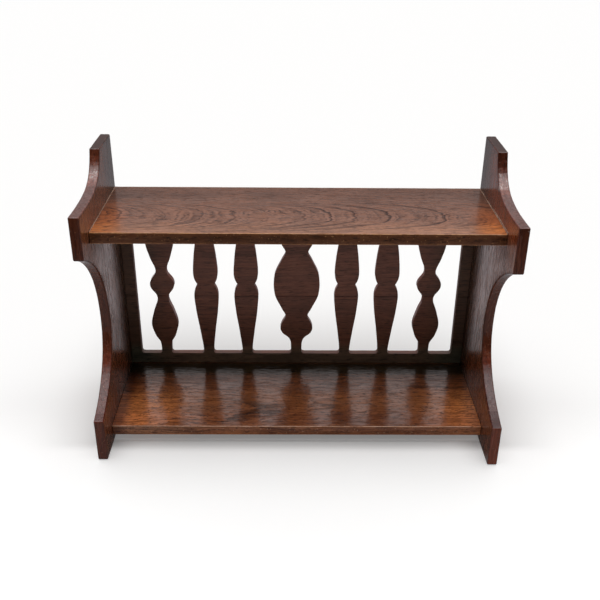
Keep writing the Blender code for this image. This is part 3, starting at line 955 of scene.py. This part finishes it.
geometrySocket, wholeSocket, materialSocket = "NodeSocketGeometry", "NodeSocketInt", "NodeSocketMaterial"
anyTurn = (0.0, 6.28)    # radians


def growthTree(name, inputs):
    rows = [("Geometry", geometrySocket), *inputs, ("Finish", materialSocket)]
    return newGroup(name, "GeometryNodeTree", rows, [("Geometry", geometrySocket)])


def xyz(tree, x, y, z):
    return put(tree, "ShaderNodeCombineXYZ", {"X": x, "Y": y, "Z": z}).outputs[0]


def circle(tree, sides):
    inputs = {"Resolution": sides, "Radius": 1.0}
    return put(tree, "GeometryNodeCurvePrimitiveCircle", inputs).outputs["Curve"]


def straightLine(tree, start, end, count):
    line = put(tree, "GeometryNodeCurvePrimitiveLine", {"Start": start, "End": end}).outputs["Curve"]
    return put(tree, "GeometryNodeResampleCurve", {"Curve": line, "Count": count}).outputs["Curve"]


def sweep(tree, path, outline, thickness):
    inputs = {"Curve": path, "Profile Curve": outline, "Scale": thickness, "Fill Caps": True}
    return put(tree, "GeometryNodeCurveToMesh", inputs).outputs["Mesh"]


def finishTree(tree, shape, finish, result):
    solid = put(tree, "GeometryNodeRealizeInstances", {"Geometry": shape}).outputs["Geometry"]
    painted = put(tree, "GeometryNodeSetMaterial", {"Geometry": solid, "Material": finish})
    tree.links.new(painted.outputs["Geometry"], result["Geometry"])


def spreadOut(tree, points, shape, turn):
    inputs = {"Points": points, "Instance": shape, "Rotation": turn}
    return put(tree, "GeometryNodeInstanceOnPoints", inputs).outputs["Instances"]


def randomTurn(tree, seed):
    chance = put(tree, "FunctionNodeRandomValue", data_type="FLOAT")
    for socket in chance.inputs:
        if socket.identifier in ("Min_001", "Max_001"):
            socket.default_value = anyTurn[0] if socket.identifier == "Min_001" else anyTurn[1]
        elif socket.identifier == "Seed":
            feed(tree, socket, seed)
    return chance.outputs["Value"] if chance.outputs["Value"].enabled else chance.outputs[1]


# back screws: a slotted countersunk head, a bare neck and a cut thread, each turned differently
backScrews = {
    "Head Radius": 0.0034,
    "Shank Radius": 0.0014,
    "Head Depth": 0.0021,
    "Length": 0.0270,
    "Point": 0.0040,
    "Thread Start": 0.0100,
    "Thread Turns": 11.0,
    "Thread Height": 0.00045,
    "Slot Width": 0.0009,
    "Slot Depth": 0.0009,
    "Seed": 5,
}
screwMesh = {
    "rings": 55,
    "sides": 28,
    "tip": 0.3,    # share of the shank's thickness
    "slotReach": 3.0,    # head radii, so that the slot runs right across
    "turnSteps": 20,
    "ridgeSides": 4,
    "smoothAngle": 35,    # degrees
}


def makeScrewTree(s):
    inputs = floats(*(name for name in backScrews if name != "Seed")) + [("Seed", wholeSocket)]
    tree, given, result = growthTree("backScrewGrowth", inputs)
    length, shank, head = given["Length"], given["Shank Radius"], given["Head Radius"]
    straight = calc(tree, "SUBTRACT", length, given["Point"])
    axis = straightLine(tree, (0, 0, 0), xyz(tree, 0.0, times(tree, length, -1.0), 0.0), s["rings"])
    travelled = put(tree, "GeometryNodeSplineParameter").outputs["Length"]
    cone = remap(tree, travelled, 0.0, given["Head Depth"], head, shank, "LINEAR")
    point = remap(tree, travelled, straight, length, 1.0, s["tip"], "LINEAR")
    body = sweep(tree, axis, circle(tree, s["sides"]), times(tree, cone, point))
    slotSize = xyz(tree, times(tree, head, s["slotReach"]), times(tree, given["Slot Depth"], 2.0),
                   given["Slot Width"])
    slot = put(tree, "GeometryNodeMeshCube", {"Size": slotSize}).outputs["Mesh"]
    cut = put(tree, "GeometryNodeMeshBoolean", {"Mesh 1": body, "Mesh 2": slot}, operation="DIFFERENCE")
    threadRun = calc(tree, "SUBTRACT", straight, given["Thread Start"])
    coil = put(tree, "GeometryNodeCurveSpiral", {
        "Resolution": s["turnSteps"], "Rotations": given["Thread Turns"], "Start Radius": shank,
        "End Radius": shank, "Height": threadRun}).outputs["Curve"]
    moved = xyz(tree, 0.0, times(tree, given["Thread Start"], -1.0), 0.0)
    laid = {"Geometry": coil, "Translation": moved, "Rotation": (quarterTurn, 0, 0)}
    coil = put(tree, "GeometryNodeTransform", laid).outputs["Geometry"]
    thread = sweep(tree, coil, circle(tree, s["ridgeSides"]), given["Thread Height"])
    whole = tree.nodes.new("GeometryNodeJoinGeometry")
    for part in (cut.outputs["Mesh"], thread):
        tree.links.new(part, whole.inputs[0])
    turn = xyz(tree, 0.0, randomTurn(tree, given["Seed"]), 0.0)
    finishTree(tree, spreadOut(tree, given["Geometry"], whole.outputs[0], turn), given["Finish"], result)
    return tree


# dowels: fluted pegs with chamfered ends
dowels = {
    "Radius": 0.00395,
    "Length": 0.0294,
    "Chamfer": 0.0012,
    "Flutes": 18,
    "Flute Depth": 0.07,
    "Seed": 3,
}
dowelMesh = {
    "rings": 41,
    "end": 0.78,    # share of the radius that the chamfer leaves
    "smoothAngle": 35,
}


def makeDowelTree(s):
    inputs = [(name, wholeSocket if name in ("Flutes", "Seed") else floatSocket) for name in dowels]
    tree, given, result = growthTree("dowelGrowth", inputs)
    half = times(tree, given["Length"], 0.5)
    start = xyz(tree, times(tree, half, -1.0), 0.0, 0.0)
    line = straightLine(tree, start, xyz(tree, half, 0.0, 0.0), s["rings"])
    travelled = put(tree, "GeometryNodeSplineParameter").outputs["Length"]
    toEnd = calc(tree, "MINIMUM", travelled, calc(tree, "SUBTRACT", given["Length"], travelled))
    taper = remap(tree, toEnd, 0.0, given["Chamfer"], s["end"], 1.0, "LINEAR")
    fluted = {"Points": given["Flutes"], "Inner Radius": calc(tree, "SUBTRACT", 1.0, given["Flute Depth"]),
              "Outer Radius": 1.0}
    star = put(tree, "GeometryNodeCurveStar", fluted).outputs["Curve"]
    peg = sweep(tree, line, star, times(tree, taper, given["Radius"]))
    turn = xyz(tree, randomTurn(tree, given["Seed"]), 0.0, 0.0)
    finishTree(tree, spreadOut(tree, given["Geometry"], peg, turn), given["Finish"], result)
    return tree


# wax seams: thin uneven beads left in the corners between the upper shelf and the ends
waxSeams = {
    "Thickness": 0.00040,
    "Unevenness": 0.45,
    "Lump Size": 0.016,
    "Step": 0.003,
}
seamMesh = {
    "sides": 10,
    "smoothAngle": 60,
    "lumps": (1.0, 2.0, 0.6),    # scale, detail, roughness
    # distance in from the shelf's end, height above it, start and end behind its front
    "left": [(0.0001, 0.0002, 0.002, 0.172)],
    "right": [(0.0001, 0.0002, 0.001, 0.172), (-0.0002, 0.0021, 0.001, 0.085)],
}


def makeSeamTree(s):
    tree, given, result = growthTree("waxSeamGrowth", floats(*waxSeams))
    path = put(tree, "GeometryNodeMeshToCurve", {"Mesh": given["Geometry"]}).outputs["Curve"]
    steps = {"Curve": path, "Length": given["Step"]}
    path = put(tree, "GeometryNodeResampleCurve", steps, mode="LENGTH").outputs["Curve"]
    spot = put(tree, "GeometryNodeInputPosition").outputs[0]
    lumps = cloudy(tree, scaled(tree, spot, calc(tree, "DIVIDE", 1.0, given["Lump Size"])), *s["lumps"])
    swell = calc(tree, "MULTIPLY_ADD", calc(tree, "SUBTRACT", lumps, noiseMiddle),
                 times(tree, given["Unevenness"], 2.0), 1.0)
    bead = sweep(tree, path, circle(tree, s["sides"]), times(tree, swell, given["Thickness"]))
    finishTree(tree, bead, given["Finish"], result)
    return tree


# small parts' finishes: two colours, cells of the grain, roughness from and to, metal or not
smallLook = {
    "grain": (1.0, 3.0, 0.6),
    "colourFrom": (0.35, 0.65),
    "roughFrom": (0.3, 0.7),
    "bumpStrength": 0.6,
    "relief": 0.00005,
}


def smallFinish(name, first, second, cells, roughness, metallic):
    look = smallLook
    material = bpy.data.materials.new(name)
    material.use_nodes = True
    tree = material.node_tree
    shader = tree.nodes["Principled BSDF"]
    place = put(tree, "ShaderNodeTexCoord").outputs["Object"]
    grain = cloudy(tree, vectorCalc(tree, "MULTIPLY", place, cells), *look["grain"])
    colour = blendColour(tree, remap(tree, grain, *look["colourFrom"]), first, second)
    tree.links.new(colour, shader.inputs["Base Color"])
    tree.links.new(remap(tree, grain, *look["roughFrom"], *roughness), shader.inputs["Roughness"])
    uneven = {"Strength": look["bumpStrength"], "Distance": look["relief"], "Height": grain}
    tree.links.new(put(tree, "ShaderNodeBump", uneven).outputs[0], shader.inputs["Normal"])
    shader.inputs["Metallic"].default_value = metallic
    return material


screwNodes = [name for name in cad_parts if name.startswith("back_screw_")]
dowelNodes = [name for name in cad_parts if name.startswith("dowel_")]
screwHeads = []
for low, high in (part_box(name) for name in screwNodes):
    screwHeads.append(((low.x + high.x) / 2, high.y, (low.z + high.z) / 2))
pegMiddles = [tuple((low + high) / 2) for low, high in (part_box(name) for name in dowelNodes)]
dullSteel = smallFinish("dullScrewSteel", (0.20, 0.17, 0.14, 1), (0.34, 0.31, 0.27, 1), (900, 250, 900),
                        (0.35, 0.6), 1.0)
bareBeech = smallFinish("bareBeech", (0.40, 0.24, 0.12, 1), (0.52, 0.34, 0.19, 1), (120, 1400, 1400),
                        (0.55, 0.75), 0.0)
paleWax = smallFinish("paleWax", (0.34, 0.19, 0.13, 1), (0.54, 0.36, 0.27, 1), (220, 90, 220),
                      (0.35, 0.55), 0.0)

screwPiece = growPiece("backScrewSet", screwHeads, [], makeScrewTree(screwMesh),
                       {**backScrews, "Finish": dullSteel}, screwMesh["smoothAngle"])
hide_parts(*screwNodes)
dowelPiece = growPiece("dowelSet", pegMiddles, [], makeDowelTree(dowelMesh),
                       {**dowels, "Finish": bareBeech}, dowelMesh["smoothAngle"])
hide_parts(*dowelNodes)

seamPoints = []
for side, end, inward in (("left", shelfLow.x, 1), ("right", shelfHigh.x, -1)):
    for inset, rise, start, stop in seamMesh[side]:
        for along in (start, stop):
            seamPoints.append((end + inward * inset, shelfLow.y + along, shelfHigh.z + rise))
seamEdges = [(first, first + 1) for first in range(0, len(seamPoints), 2)]
growPiece("waxSeamSet", seamPoints, seamEdges, makeSeamTree(seamMesh), {**waxSeams, "Finish": paleWax},
          seamMesh["smoothAngle"])

bpy.context.scene.view_settings.view_transform = "Standard"
